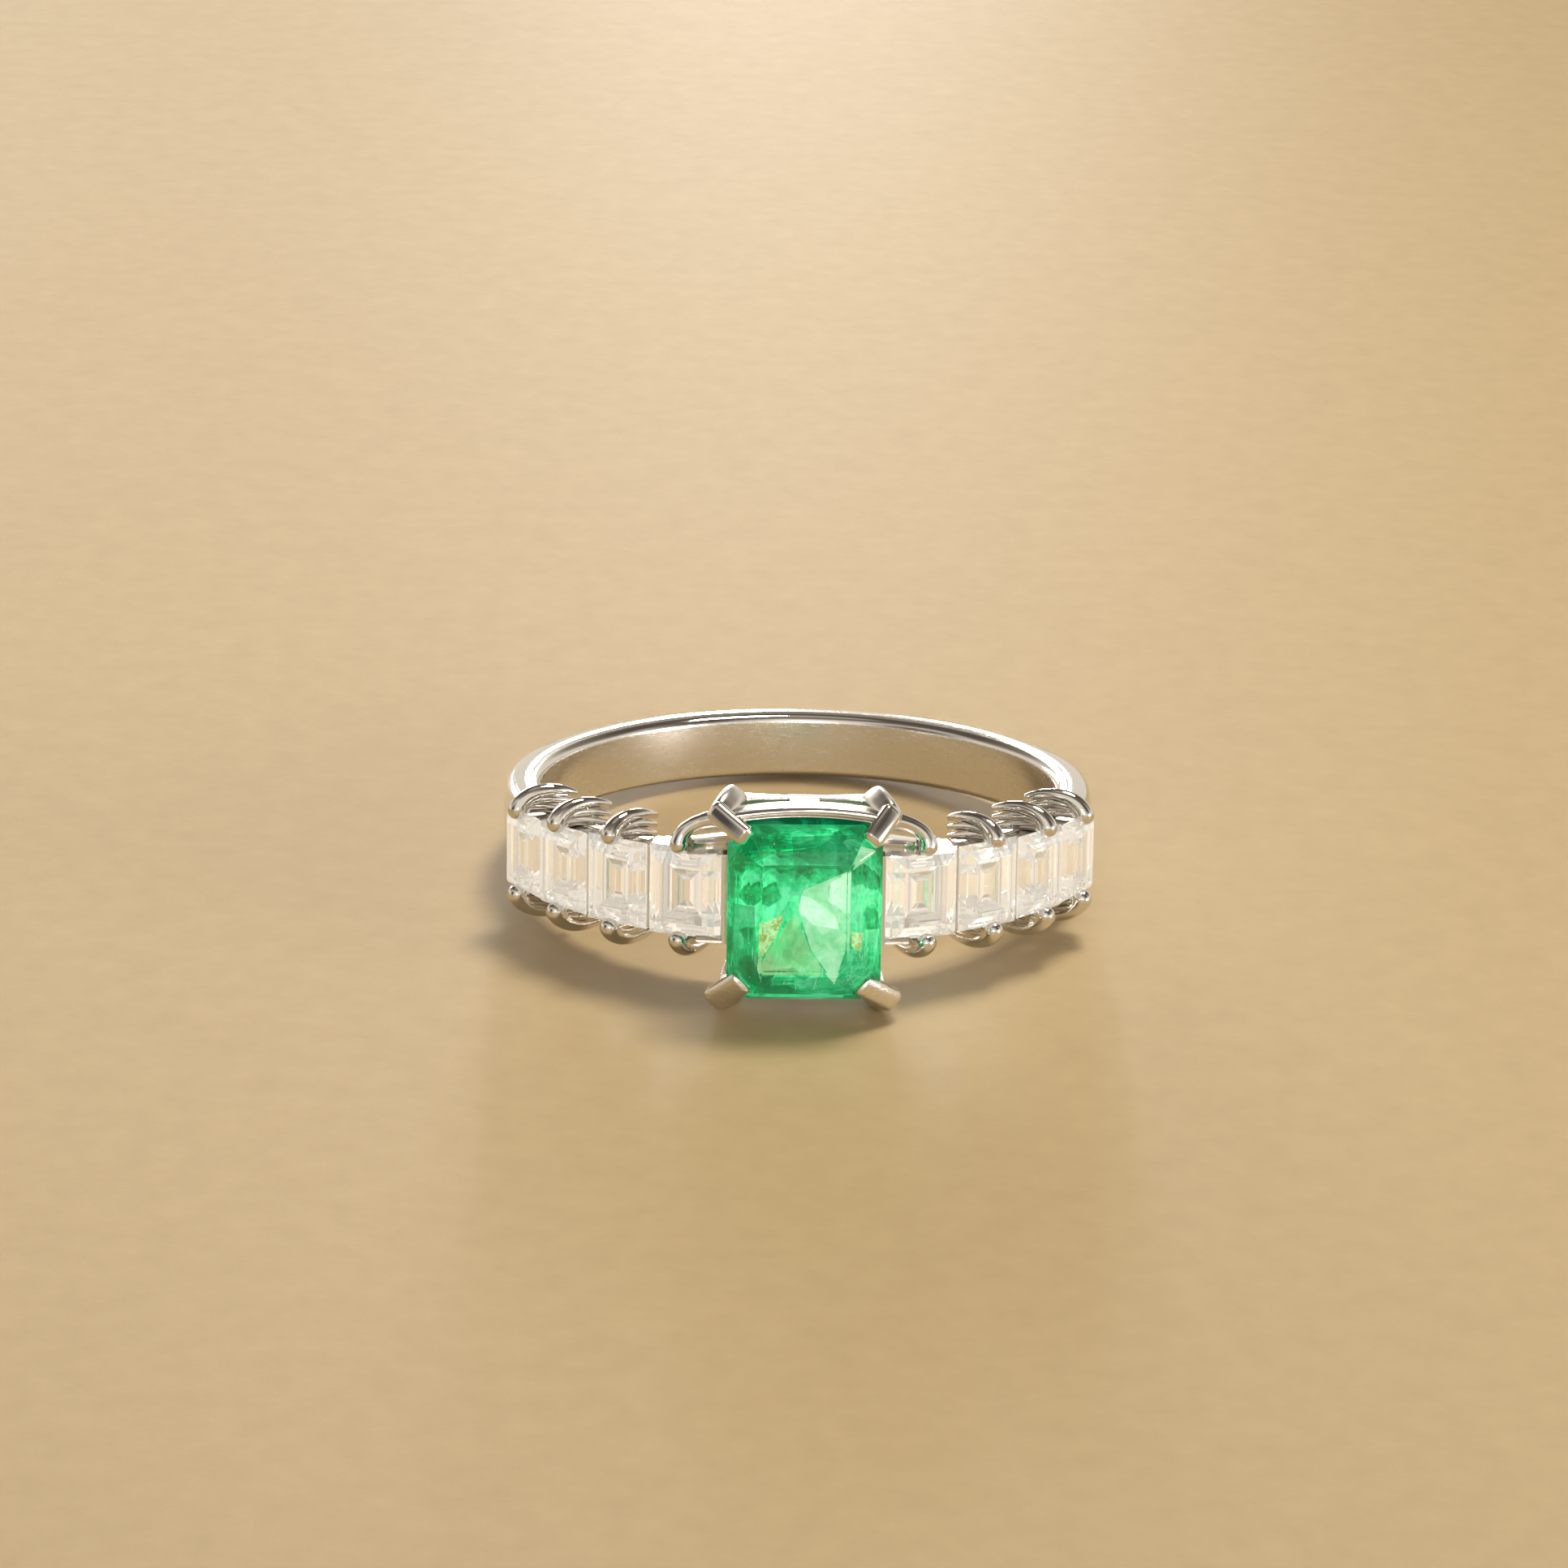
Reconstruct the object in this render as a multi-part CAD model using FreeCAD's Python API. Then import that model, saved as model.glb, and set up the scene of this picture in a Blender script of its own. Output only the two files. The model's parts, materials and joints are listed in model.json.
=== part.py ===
import FreeCAD, Part
import math
import os

# Engagement ring: a step-cut emerald in a four-claw head, four square step-cut
# diamonds down each shoulder, and a plain domed platinum shank.
#
# Frame (mm): origin at the centre of the finger bore, +Z along the bore, the
# emerald facing -Y.  Every setting is drawn in the "front frame" (u across,
# v along the bore, w out from the bore's axis) as if it stood at the very
# front, and is then turned about Z to its own station.

# ---- driving dimensions -------------------------------------------------------
BORE_R = 8.25               # US size 6 finger hole; head and claws end flush with it
SHANK_OUTER_R = 9.5
SHANK_HALF_WIDTH = 1.1
SHANK_DOME = 0.10           # how far the outside falls from its middle to its rounded edges
SHANK_OUTER_ROUND = 0.22
SHANK_INNER_ROUND = 0.28
RAIL_OUTER_R = 8.95         # thin rail that runs under the settings

GIRDLE_CORNER_R = 10.1      # radius on which the corners of the side stones meet
FIRST_STONE_ANGLE = 14.2    # degrees from the front to the first side stone
SIDE_STONES = ((2.47, 2.89), (2.31, 2.78), (2.17, 2.67), (2.03, 2.56))  # across, along
STONE_GAP = 0.07            # bar of metal between neighbouring girdles
GIRDLE = 0.05
SEAT_INSET = 0.08           # seats stop this far inside the ends of their stones
SEAT_END_WALL = 0.16        # closing wall behind the last stone, against the shank
SEAT_ARCH_HALF = 0.72       # half width of the open arch under each stone
SEAT_ARCH_RISE = 0.42
AZURE_R = 0.5               # light hole through the rail behind each side stone

# facet steps as (inset, rise or depth), both as fractions of half the stone's width
DIAMOND_CROWN = ((0.13, 0.17), (0.27, 0.27), (0.40, 0.33))
DIAMOND_PAVILION = ((0.30, 0.35), (0.62, 0.63), (0.92, 0.80))
EMERALD_CROWN = ((0.125, 0.125), (0.29, 0.25), (0.45, 0.335))
EMERALD_PAVILION = ((0.27, 0.39), (0.58, 0.68), (0.95, 0.88))

EMERALD_HALF_U = 2.4
EMERALD_HALF_V = 2.8
EMERALD_CORNER = 0.62
EMERALD_CROWN_TAPER = 2.0   # crown corner facets run almost to a point at the table
EMERALD_GIRDLE_W = 11.5

SIDE_CLAW_BALL_R = 0.31
SIDE_CLAW_BALL_W = 10.27
SIDE_CLAW_BALL_U = 0.13     # claws lean: the ball stands towards the back of the ring
SIDE_CLAW_FOOT_U = -0.25    # and the foot towards the front
SIDE_CLAW_BALL_OUT = 0.10   # centre of the ball beyond the end of its stone
SIDE_CLAW_RIBS_V = (1.28, 1.55, 1.82)   # the three ribs where they meet the finger
SIDE_CLAW_RIB_R = 0.2
SIDE_CLAW_NECK_R = 0.27
SIDE_CLAW_START_W = 8.0

# centre claw leg from finger to shoulder: (w, u, v, size along its diagonal, size across it)
CENTRE_CLAW_LEG = (
    (8.70, 2.04, 2.50, 0.64, 0.60),
    (9.10, 2.12, 2.80, 0.76, 0.70),
    (9.45, 2.18, 3.00, 0.80, 0.72),
    (10.10, 2.26, 3.08, 0.80, 0.74),
    (10.70, 2.42, 3.05, 0.76, 0.70),
    (11.20, 2.50, 2.94, 0.64, 0.60),
)
CENTRE_CLAW_DIAGONAL = 40.5     # degrees from the across direction, towards the stone's corner
CENTRE_CLAW_ROUND = 0.16
CENTRE_TIP_START = (3.00, 3.22, 11.12)  # (u, v, w) on top of the bar, at its outer end
CENTRE_TIP_END = (1.90, 2.27, 11.92)    # and at its inner end, over the cut corner
CENTRE_TIP_WIDTH = 0.60
CENTRE_TIP_THICK = 0.50
CENTRE_TIP_ROUND = 0.12

RAIL_HALF_U = 2.3
RAIL_THICK = 0.22
BEARING_RAIL_BACK_W = 10.45
BEARING_RAIL_FRONT_W = {"upper": 11.42, "lower": 10.95}
# outside of the bowed rail at its ends and middle; the emerald sits a little low in its head
BEARING_RAIL_V = {"upper": (2.99, 3.22), "lower": (2.78, 2.95)}
BEARING_LEDGE_W = (10.90, 11.25)
BEARING_LEDGE_V = {"upper": (2.35, 3.04), "lower": (2.35, 2.80)}
BEARING_LEDGE_HALF_U = 1.9
GALLERY_RAIL_W = (9.32, 9.80)
GALLERY_RAIL_V = (2.98, 3.12)
PILLAR_HALF_U = 0.45

HEAD_BASE_R = 9.1
HEAD_BASE_HALF_V = 2.8
HEAD_WINDOW_R = 0.75
HEAD_SLOT_HALF_U = 1.45     # slots beside the rail that leave the base an open frame
HEAD_SLOT_V = (1.3, 2.1)
HEAD_WALL_HALF_V = 1.42
HEAD_WALL_U = (2.34, 2.50)
HEAD_WALL_W = (9.60, 10.25)
HEAD_FOOT_U = (2.02, 2.50)
HEAD_FOOT_W = (8.80, 9.90)
WEB_OUTLINE = {             # corners as (u, v)
    "upper": ((2.00, 1.37), (3.05, 1.37), (3.05, 2.05), (2.00, 2.60)),
    "lower": ((2.00, 1.37), (3.05, 1.37), (3.05, 1.62), (2.00, 1.62)),
}
WEB_W = (8.60, 9.85)

ORIGIN = FreeCAD.Vector(0, 0, 0)
ACROSS = FreeCAD.Vector(1, 0, 0)
AXIS = FreeCAD.Vector(0, 0, 1)
FRONT = FreeCAD.Vector(0, -1, 0)
QUADRANTS = ((1, 1), (-1, 1), (-1, -1), (1, -1))
BORE_DEPTH = 20.0           # longer than anything the bore has to clear


# ---- helpers in the front frame -----------------------------------------------
def front(u, v, w):
    return FreeCAD.Vector(u, -w, v)


def block(u_range, v_range, w_range):
    corner = front(u_range[0], v_range[0], w_range[1])
    sizes = [high - low for low, high in (u_range, w_range, v_range)]
    return Part.makeBox(*sizes, corner)


def both_ways(half):
    return (-half, half)


def sector(radii, half_v, angles):
    """Curved block between two radii and two angles (degrees from the front)."""
    low_v, high_v = both_ways(half_v)
    corners = [(radii[0], low_v), (radii[1], low_v), (radii[1], high_v), (radii[0], high_v)]
    points = [front(0, v, w) for w, v in corners]
    profile = Part.Face(Part.makePolygon(points + points[:1]))
    profile.rotate(ORIGIN, AXIS, angles[0])
    return profile.revolve(ORIGIN, AXIS, angles[1] - angles[0])


def bore_cylinder(radius):
    return Part.makeCylinder(radius, BORE_DEPTH, FreeCAD.Vector(0, 0, -BORE_DEPTH / 2))


def light_hole(radius, angle):
    """Round hole through the rail, along the outward direction of a station."""
    hole = Part.makeCylinder(radius, HEAD_BASE_R, ORIGIN, FRONT)
    return at_station(hole, angle)


def at_station(shape, angle):
    turned = shape.copy()
    turned.rotate(ORIGIN, AXIS, angle)
    return turned


def on_side(shape, side):
    """The shape as drawn (right), or its mirror image (left)."""
    return shape if side == "right" else shape.mirror(ORIGIN, ACROSS)


def at_end(shape, end):
    """The shape as drawn (upper), or its mirror image (lower)."""
    return shape if end == "upper" else shape.mirror(ORIGIN, AXIS)


def cut_all(shape, *tools):
    for tool in tools:
        shape = shape.cut(tool)
    return shape


# ---- stones ---------------------------------------------------------------------
def step_outline(half_u, half_v, corner, w):
    """Rectangle with cut corners, anticlockwise; four points if the cut is nil."""
    points = []
    for sign_u, sign_v in QUADRANTS:
        side_point = front(sign_u * half_u, sign_v * (half_v - corner), w)
        end_point = front(sign_u * (half_u - corner), sign_v * half_v, w)
        pair = [side_point, end_point] if sign_u == sign_v else [end_point, side_point]
        points += pair if corner else pair[:1]
    return points


def step_cut(half_u, half_v, corner, girdle_w, crown, pavilion, crown_taper=1.0):
    """Closed stone with flat facets from culet to table."""
    def level(inset, w, taper=1.0):
        reach = inset * half_u
        return step_outline(half_u - reach, half_v - reach, corner * (1 - taper * inset), w)

    bottom_w = girdle_w - GIRDLE / 2
    top_w = girdle_w + GIRDLE / 2
    levels = [level(inset, bottom_w - depth * half_u) for inset, depth in reversed(pavilion)]
    levels += [level(0, bottom_w), level(0, top_w)]
    levels += [level(inset, top_w + rise * half_u, crown_taper) for inset, rise in crown]
    faces = [Part.Face(Part.makePolygon(outline + outline[:1])) for outline in (levels[0], levels[-1])]
    for lower, upper in zip(levels, levels[1:]):
        for index in range(len(lower)):
            after = (index + 1) % len(lower)
            corners = [lower[index], lower[after], upper[after], upper[index], lower[index]]
            faces.append(Part.Face(Part.makePolygon(corners)))
    solid = Part.Solid(Part.makeShell(faces))
    solid.fix(1e-6, 1e-6, 1e-6)
    return solid


def emerald():
    return step_cut(EMERALD_HALF_U, EMERALD_HALF_V, EMERALD_CORNER, EMERALD_GIRDLE_W,
                    EMERALD_CROWN, EMERALD_PAVILION, EMERALD_CROWN_TAPER)


class Station:
    """Place and size of one side stone, from its number."""

    def __init__(self, width, length, start_angle):
        self.half_angle = math.degrees(math.asin(width / 2 / GIRDLE_CORNER_R))
        self.angle = start_angle + self.half_angle
        self.end_angle = start_angle + 2 * self.half_angle
        self.half_u = width / 2 - STONE_GAP / 2
        self.half_v = length / 2
        self.girdle_w = GIRDLE_CORNER_R * math.cos(math.radians(self.half_angle))
        self.is_last = False


def side_stations():
    stations = []
    start = FIRST_STONE_ANGLE
    for width, length in SIDE_STONES:
        stations.append(Station(width, length, start))
        start = stations[-1].end_angle
    stations[-1].is_last = True
    return stations


def diamond(station):
    return step_cut(station.half_u, station.half_v, 0, station.girdle_w,
                    DIAMOND_CROWN, DIAMOND_PAVILION)


# ---- shank ------------------------------------------------------------------------
def shank_profile():
    """Section of the plain part: flat inside with rounded edges, domed outside."""
    def corner(sign, flat_w, radius, inward):
        """Quarter arc between a side face and the inside or outside face."""
        side_v = sign * SHANK_HALF_WIDTH
        bend = radius * (1 - math.sqrt(0.5))
        return [(sign * (SHANK_HALF_WIDTH - radius), flat_w),
                (sign * (SHANK_HALF_WIDTH - bend), flat_w + inward * bend),
                (side_v, flat_w + inward * radius)]

    dome_w = SHANK_OUTER_R - SHANK_DOME
    inner_low, inner_high = (corner(sign, BORE_R, SHANK_INNER_ROUND, 1) for sign in (-1, 1))
    outer_low, outer_high = (corner(sign, dome_w, SHANK_OUTER_ROUND, -1) for sign in (-1, 1))
    dome = [outer_high[0], (0, SHANK_OUTER_R), outer_low[0]]
    runs = [
        [inner_low[0], inner_high[0]],
        inner_high,
        [inner_high[-1], outer_high[-1]],
        outer_high[::-1],
        dome,
        outer_low,
        [outer_low[-1], inner_low[-1]],
        inner_low[::-1],
    ]
    edges = []
    for run in runs:
        points = [front(0, v, w) for v, w in run]
        curve = Part.LineSegment(*points) if len(points) == 2 else Part.Arc(*points)
        edges.append(curve.toShape())
    return Part.Face(Part.Wire(edges))


def shank(stations):
    last = stations[-1]
    wall_angle = math.degrees(SEAT_END_WALL / SHANK_OUTER_R)
    start = last.end_angle + wall_angle
    hoop = shank_profile().revolve(ORIGIN, AXIS, 360)
    above_rail = sector((RAIL_OUTER_R, GIRDLE_CORNER_R), BORE_R, both_ways(start))
    body = hoop.cut(above_rail)
    angles = [sign * station.angle for station in stations for sign in (-1, 1)]
    holes = [light_hole(AZURE_R, angle) for angle in angles] + [light_hole(HEAD_WINDOW_R, 0)]
    return cut_all(body, *holes).removeSplitter()


# ---- side settings ------------------------------------------------------------------
def side_seat(station, stone):
    """Wedge under one stone, with an open arch along the bore's direction."""
    end_wall = math.degrees(SEAT_END_WALL / SHANK_OUTER_R) if station.is_last else 0
    angles = (-station.half_angle, station.half_angle + end_wall)
    wedge = sector((RAIL_OUTER_R, GIRDLE_CORNER_R), station.half_v - SEAT_INSET, angles)
    below_girdle = block(both_ways(BORE_R), both_ways(BORE_R), (0, station.girdle_w - GIRDLE))
    arch_w = (BORE_R, RAIL_OUTER_R + SEAT_ARCH_RISE)
    arch = block(both_ways(SEAT_ARCH_HALF), both_ways(BORE_R), arch_w)
    return cut_all(wedge.common(below_girdle), stone, arch)


def side_claw(station):
    """Three ribs that rise from the finger and close into a ball over the stone."""
    ball_v = station.half_v + SIDE_CLAW_BALL_OUT
    ball_centre = front(SIDE_CLAW_BALL_U, ball_v, SIDE_CLAW_BALL_W)
    claw = Part.makeSphere(SIDE_CLAW_BALL_R, ball_centre)
    for rib_v in SIDE_CLAW_RIBS_V:
        foot = front(SIDE_CLAW_FOOT_U, rib_v, SIDE_CLAW_START_W)
        along = ball_centre - foot
        claw = claw.fuse(Part.makeCone(SIDE_CLAW_RIB_R, SIDE_CLAW_NECK_R, along.Length, foot, along))
    return claw.cut(bore_cylinder(BORE_R))


# ---- head ------------------------------------------------------------------------------
def turned_outline(w, u, v, size_a, size_b):
    """Closed wire: a rounded rectangle across the outward direction, turned to the diagonal."""
    reach_a = size_a / 2 - CENTRE_CLAW_ROUND
    reach_b = size_b / 2 - CENTRE_CLAW_ROUND
    arcs = []
    for index, (sign_a, sign_b) in enumerate(QUADRANTS):
        turn = [math.radians(90 * index + step) for step in (0, 45, 90)]
        arcs.append([front(sign_a * reach_a + CENTRE_CLAW_ROUND * math.cos(angle),
                           sign_b * reach_b + CENTRE_CLAW_ROUND * math.sin(angle), 0)
                     for angle in turn])
    edges = []
    for arc, following in zip(arcs, arcs[1:] + arcs[:1]):
        edges.append(Part.Arc(*arc).toShape())
        edges.append(Part.LineSegment(arc[-1], following[0]).toShape())
    outline = Part.Wire(edges)
    outline.rotate(ORIGIN, FRONT, CENTRE_CLAW_DIAGONAL)
    outline.translate(front(u, v, w))
    return outline


def centre_tip():
    """Bar that lies diagonally over one cut corner of the emerald."""
    start = front(*CENTRE_TIP_START)
    along = front(*CENTRE_TIP_END) - start
    corner = FreeCAD.Vector(0, -CENTRE_TIP_WIDTH / 2, -CENTRE_TIP_THICK)
    bar = Part.makeBox(along.Length, CENTRE_TIP_WIDTH, CENTRE_TIP_THICK, corner)
    bar = bar.makeFillet(CENTRE_TIP_ROUND, bar.Edges)
    turn = FreeCAD.Rotation(along, FRONT.cross(along), FRONT, "XZY")
    bar.Placement = FreeCAD.Placement(start, turn)
    return bar


def centre_claw():
    leg = Part.makeLoft([turned_outline(*section) for section in CENTRE_CLAW_LEG], True, False)
    return leg.fuse(centre_tip())


def bowed_rail(ends_and_middle_v, w_range):
    """Bar from claw to claw whose outside bows away from the stone."""
    end_v, middle_v = ends_and_middle_v
    outer = [(-RAIL_HALF_U, end_v), (0, middle_v), (RAIL_HALF_U, end_v)]
    inner = [(u, v - RAIL_THICK) for u, v in reversed(outer)]
    outer_points = [front(u, v, w_range[0]) for u, v in outer]
    inner_points = [front(u, v, w_range[0]) for u, v in inner]
    edges = [
        Part.Arc(*outer_points),
        Part.LineSegment(outer_points[-1], inner_points[0]),
        Part.Arc(*inner_points),
        Part.LineSegment(inner_points[-1], outer_points[0]),
    ]
    face = Part.Face(Part.Wire([edge.toShape() for edge in edges]))
    return face.extrude(FRONT * (w_range[1] - w_range[0]))


def bearing_rail(end):
    """Rail next to the stone with the ledge that the emerald's pavilion rests on."""
    ledge = block(both_ways(BEARING_LEDGE_HALF_U), BEARING_LEDGE_V[end], BEARING_LEDGE_W)
    rail = bowed_rail(BEARING_RAIL_V[end], (BEARING_RAIL_BACK_W, BEARING_RAIL_FRONT_W[end]))
    return at_end(rail.fuse(ledge), end)


def pillar():
    v_range = (GALLERY_RAIL_V[0] - RAIL_THICK / 2, GALLERY_RAIL_V[1])
    return block(both_ways(PILLAR_HALF_U), v_range, (GALLERY_RAIL_W[1], BEARING_RAIL_BACK_W))


def head_base():
    """Plate on the finger line that carries the head, astride the rail."""
    plate = sector((BORE_R, HEAD_BASE_R), HEAD_BASE_HALF_V, both_ways(FIRST_STONE_ANGLE))
    slot = block(both_ways(HEAD_SLOT_HALF_U), HEAD_SLOT_V, (0, BORE_DEPTH))
    slots = [at_end(slot, end) for end in ("upper", "lower")]
    return cut_all(plate, light_hole(HEAD_WINDOW_R, 0), *slots)


def head_wall():
    """Thin wall between the head and the first side stone, on a wider foot."""
    v_range = both_ways(HEAD_WALL_HALF_V)
    return block(HEAD_WALL_U, v_range, HEAD_WALL_W).fuse(block(HEAD_FOOT_U, v_range, HEAD_FOOT_W))


def shoulder_web(end):
    """Wall between the head and the first side claw; the upper one slopes down from the head."""
    corners = [front(u, v, WEB_W[0]) for u, v in WEB_OUTLINE[end]]
    face = Part.Face(Part.makePolygon(corners + corners[:1]))
    return face.extrude(FRONT * (WEB_W[1] - WEB_W[0]))


# ---- assembly ------------------------------------------------------------------------------
def side_nodes(nodes):
    """Stones, seats and claws of both shoulders."""
    stations = side_stations()
    nodes["shank"] = shank(stations)
    for side in ("left", "right"):
        for number, station in enumerate(stations, 1):
            stone = diamond(station)
            seat = side_seat(station, stone)
            place = f"{side}_{number}"
            nodes[f"side_diamond_{place}"] = on_side(at_station(stone, station.angle), side)
            nodes[f"side_seat_{place}"] = on_side(at_station(seat, station.angle), side)
            for end in ("upper", "lower"):
                claw = at_end(cut_all(side_claw(station), seat, stone), end)
                turned = on_side(at_station(claw, station.angle), side)
                nodes[f"side_claw_{place}_{end}"] = turned.cut(nodes["shank"])


def head_nodes(nodes):
    """Emerald, claws, rails, base, walls and webs of the head."""
    stone = emerald()
    base = head_base().cut(nodes["shank"])
    nodes["emerald"] = stone
    nodes["head_base"] = base
    claws = []
    for side in ("left", "right"):
        for end in ("upper", "lower"):
            claw = at_end(on_side(cut_all(centre_claw(), stone, base), side), end)
            nodes[f"centre_claw_{side}_{end}"] = claw
            claws.append(claw)
    for end in ("upper", "lower"):
        rail = cut_all(bearing_rail(end), stone, *claws)
        nodes[f"bearing_rail_{end}"] = rail
        gallery = cut_all(at_end(bowed_rail(GALLERY_RAIL_V, GALLERY_RAIL_W), end), base, *claws)
        nodes[f"gallery_rail_{end}"] = gallery
        nodes[f"gallery_pillar_{end}"] = at_end(pillar(), end)
    for side in ("left", "right"):
        near = [nodes[f"side_diamond_{side}_1"], nodes[f"side_seat_{side}_1"], nodes["shank"]]
        wall = cut_all(on_side(head_wall(), side), stone, base, *near, *claws)
        nodes[f"head_wall_{side}"] = wall
        for end in ("upper", "lower"):
            web = at_end(on_side(shoulder_web(end), side), end)
            blockers = near + claws + [base, wall, nodes[f"side_claw_{side}_1_{end}"]]
            nodes[f"shoulder_web_{side}_{end}"] = cut_all(web, *blockers)


def main():
    os.makedirs("parts", exist_ok=True)
    nodes = {}
    side_nodes(nodes)
    head_nodes(nodes)
    for name, shape in nodes.items():
        shape.exportStep(os.path.join("parts", name + ".step"))


main()
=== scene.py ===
import json
import math
import random

import bmesh
import bpy
from mathutils import Matrix, Vector


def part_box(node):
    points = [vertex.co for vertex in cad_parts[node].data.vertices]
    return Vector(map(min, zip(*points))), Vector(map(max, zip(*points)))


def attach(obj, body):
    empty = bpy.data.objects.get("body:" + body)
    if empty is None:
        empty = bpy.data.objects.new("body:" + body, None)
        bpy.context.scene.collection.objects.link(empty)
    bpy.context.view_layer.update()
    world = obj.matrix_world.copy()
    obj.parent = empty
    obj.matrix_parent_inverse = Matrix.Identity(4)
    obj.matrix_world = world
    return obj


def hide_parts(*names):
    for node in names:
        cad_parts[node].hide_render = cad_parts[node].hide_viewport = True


# Looks of the engagement ring.  Meshes are drawn in millimetres in the same frame as
# the CAD (+Z along the finger bore, the emerald facing -Y) and scaled to metres when
# they become objects.  Settings are drawn in the "front frame": u across, v along the
# bore and w outwards, as if at the very front, and are then turned to their station.

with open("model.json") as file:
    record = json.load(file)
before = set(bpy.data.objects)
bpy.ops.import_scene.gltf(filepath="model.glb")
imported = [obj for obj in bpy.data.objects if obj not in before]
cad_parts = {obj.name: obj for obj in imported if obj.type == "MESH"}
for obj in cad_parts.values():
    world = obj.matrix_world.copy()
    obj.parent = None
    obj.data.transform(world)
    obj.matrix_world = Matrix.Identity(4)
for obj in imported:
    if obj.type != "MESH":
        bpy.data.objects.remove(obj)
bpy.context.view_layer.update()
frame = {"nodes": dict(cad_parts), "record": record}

MM = 0.001
SIDES = ("left", "right")
ENDS = ("upper", "lower")
SIGN = {"left": -1, "right": 1, "upper": 1, "lower": -1}
NUMBERS = range(1, 5)       # of the stones on a shoulder, from the emerald backwards
GIRDLE_SLACK = 0.001        # mm, points this near a stone's widest u are on its girdle


# ---- sizes in millimetres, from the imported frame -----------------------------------
def node_points(node):
    """Corners of a CAD node's mesh in millimetres, each one once."""
    vertices = frame["nodes"][node].data.vertices
    unique = {tuple(round(c / MM, 4) for c in vertex.co) for vertex in vertices}
    return [Vector(point) for point in sorted(unique)]


class Setting:
    """Place and size of one stone, read from its CAD node."""

    def __init__(self, node):
        self.points = node_points(node)
        middle = sum(self.points, Vector()) / len(self.points)
        self.angle = math.atan2(middle.x, -middle.y)
        turn = Matrix.Rotation(-self.angle, 3, "Z")
        local = [turn @ point for point in self.points]
        half_u = max(abs(point.x) for point in local)
        self.half_v = max(abs(point.z) for point in local)
        self.culet_w = min(-point.y for point in local)
        rim = [-point.y for point in local if abs(point.x) > half_u - GIRDLE_SLACK]
        self.girdle_w = sum(rim) / len(rim)


def box_mm(node):
    """Corners of a CAD node's box in millimetres."""
    low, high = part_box(node)
    return low / MM, high / MM


BORE_R = frame["record"]["mounts"][0]["dims"]["r_mm"]
SHANK_LOW, SHANK_HIGH = box_mm("shank")
SHANK_OUTER_R = SHANK_HIGH.y
SHANK_HALF_WIDTH = SHANK_HIGH.z
RAIL_OUTER_R = -SHANK_LOW.y
CENTRE = Setting("emerald")


# ---- mesh helpers ------------------------------------------------------------------
EDGE_ANGLE = 35


def front(u, v, w):
    """Point of the front frame in the ring's own axes."""
    return Vector((u, -w, v))


def superellipse(half_x, half_y, power, count):
    """Points round a rounded rectangle: power 2 is an ellipse, more is squarer."""
    points = []
    for index in range(count):
        angle = 2 * math.pi * index / count
        c, s = math.cos(angle), math.sin(angle)
        reach = (abs(c) ** power + abs(s) ** power) ** (-1 / power)
        points.append((half_x * reach * c, half_y * reach * s))
    return points


def loft(bm, rings, close=False):
    """Skin over rings of equally many points, with flat ends or joined into a hoop."""
    rows = [[bm.verts.new(point) for point in ring] for ring in rings]
    pairs = list(zip(rows, rows[1:]))
    if close:
        pairs.append((rows[-1], rows[0]))
    for row, following in pairs:
        for index in range(len(row)):
            after = (index + 1) % len(row)
            bm.faces.new((row[index], row[after], following[after], following[index]))
    if not close:
        bm.faces.new(rows[0][::-1])
        bm.faces.new(rows[-1])


def shade(mesh, sharp_angle):
    """Smooth shading that stays sharp on edges of more than sharp_angle degrees."""
    for polygon in mesh.polygons:
        polygon.use_smooth = True
    mesh.set_sharp_from_angle(angle=math.radians(sharp_angle))


def add_object(name, data):
    """New object in the scene, with the mesh, light or camera it shows."""
    thing = bpy.data.objects.new(name, data)
    bpy.context.scene.collection.objects.link(thing)
    return thing


def make_object(name, bm, material, sharp_angle=None):
    """Object in metres from a bmesh in millimetres; flat faces unless given an angle."""
    bmesh.ops.recalc_face_normals(bm, faces=bm.faces)
    mesh = bpy.data.meshes.new(name)
    bm.to_mesh(mesh)
    bm.free()
    mesh.transform(Matrix.Scale(MM, 4))
    mesh.materials.append(material)
    if sharp_angle is not None:
        shade(mesh, sharp_angle)
    return add_object(name, mesh)


def piece(thing, slot, *nodes):
    """A finished piece: rides on the ring and stands for its CAD nodes; slot is not used."""
    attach(thing, "root")
    if nodes:
        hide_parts(*nodes)


def combine(thing, other, operation):
    """Boolean modifier between two closed objects."""
    change = thing.modifiers.new("combine", "BOOLEAN")
    change.object = other
    change.operation = operation
    change.solver = "MANIFOLD"


def round_edges(thing, width, segments):
    """Bevel modifier on the edges that turn by more than EDGE_ANGLE degrees."""
    rounding = thing.modifiers.new("rounding", "BEVEL")
    rounding.width = width * MM
    rounding.segments = segments
    rounding.limit_method = "ANGLE"
    rounding.angle_limit = math.radians(EDGE_ANGLE)


def apply_modifiers(thing):
    """Replace the object's mesh with what its modifiers make of it."""
    depsgraph = bpy.context.evaluated_depsgraph_get()
    baked = bpy.data.meshes.new_from_object(thing.evaluated_get(depsgraph))
    thing.modifiers.clear()
    thing.data = baked


# ---- materials ---------------------------------------------------------------------
def new_material(name):
    """New material with its nodes, its links and its main shader."""
    material = bpy.data.materials.new(name)
    material.use_nodes = True
    nodes, links = material.node_tree.nodes, material.node_tree.links
    return material, nodes, links, nodes["Principled BSDF"]


def add_node(nodes, kind, **values):
    """Shader node with some of its properties or inputs set, "_" standing for a space."""
    node = nodes.new(kind)
    for key, value in values.items():
        if hasattr(node, key):
            setattr(node, key, value)
        else:
            node.inputs[key.replace("_", " ")].default_value = value
    return node


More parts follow.
